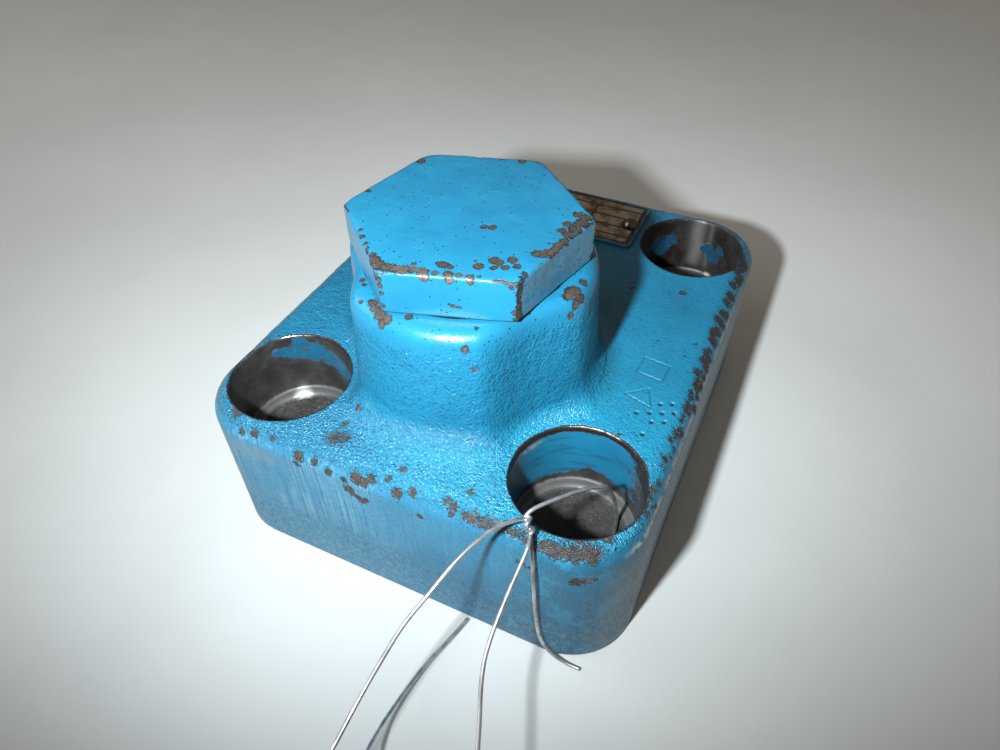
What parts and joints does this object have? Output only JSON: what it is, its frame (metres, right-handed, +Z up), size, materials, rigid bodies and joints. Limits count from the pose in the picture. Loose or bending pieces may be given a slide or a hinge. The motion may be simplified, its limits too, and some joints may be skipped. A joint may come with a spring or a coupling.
{
  "type": "hydraulic check valve block",
  "caption": "Subplate-mounted hydraulic valve block: screwed hexagon plug over a sprung seat poppet, counterbored mounting holes, blank data plate and tie wire.",
  "frame": {"origin": "centre of the block's flat mounting face, on the material between the two ports, midway between the four screw holes", "axes": "+Z up out of the mounting face along the plug's axis, +Y towards the end with the data plate, +X to the right when seen from the plug's end"},
  "size_m": [0.075, 0.1234, 0.0572],
  "materials": {
    "body_paint": "satin sprayed blue enamel over a cast and machined block, worn along the edges",
    "plug_paint": "blue enamel over turned steel, chipped at the corners",
    "hard_steel": "ground and hardened",
    "spring_steel": "oil-tempered wire",
    "seal_rubber": "matt nitrile rubber",
    "backup_plastic": "off-white PTFE",
    "plate_brass": "tarnished etched sheet",
    "rivet_steel": "drive screw head, partly painted over",
    "wire_steel": "soft annealed tie wire"
  },
  "bodies": {
    "root": {"valve_body": "body_paint", "guide_sleeve": "hard_steel", "sleeve_o_ring": "seal_rubber", "sleeve_backup_ring": "backup_plastic", "seat_bushing": "hard_steel", "seat_o_ring": "seal_rubber", "seat_backup_ring": "backup_plastic", "poppet_spring": "spring_steel", "spring_shim": "hard_steel", "wave_washer": "spring_steel", "inlet_port_o_ring": "seal_rubber", "outlet_port_o_ring": "seal_rubber", "data_plate": "plate_brass", "plate_rivet_left": "rivet_steel", "plate_rivet_right": "rivet_steel", "tag_wire_loop": "wire_steel", "tag_wire_tail": "wire_steel", "tag_wire_lead": "wire_steel"},
    "plug_seal": {"plug_o_ring": "seal_rubber"},
    "plug": {"screw_plug": "plug_paint"},
    "poppet": {"poppet": "hard_steel"}
  },
  "joints": [
    {"name": "plug_lift", "type": "slide", "parent": "root", "child": "plug_seal", "axis": [0, 0, 1], "range_m": [0, 0.0082]},
    {"name": "plug_turn", "type": "hinge", "parent": "plug_seal", "child": "plug", "pos_m": [0, -0.0148, 0.0503], "axis": [0, 0, 1], "range_deg": [0, 1440]},
    {"name": "poppet_lift", "type": "slide", "parent": "root", "child": "poppet", "axis": [0, 0, 1], "range_m": [0, 0.0046], "stiffness_N_per_m": 3000, "springref_m": -0.0025, "deforming": ["poppet_spring"]}
  ],
  "couplings": [
    {"joint": "plug_lift", "follows": "plug_turn", "m_per_rad": 0.00031831}
  ]
}
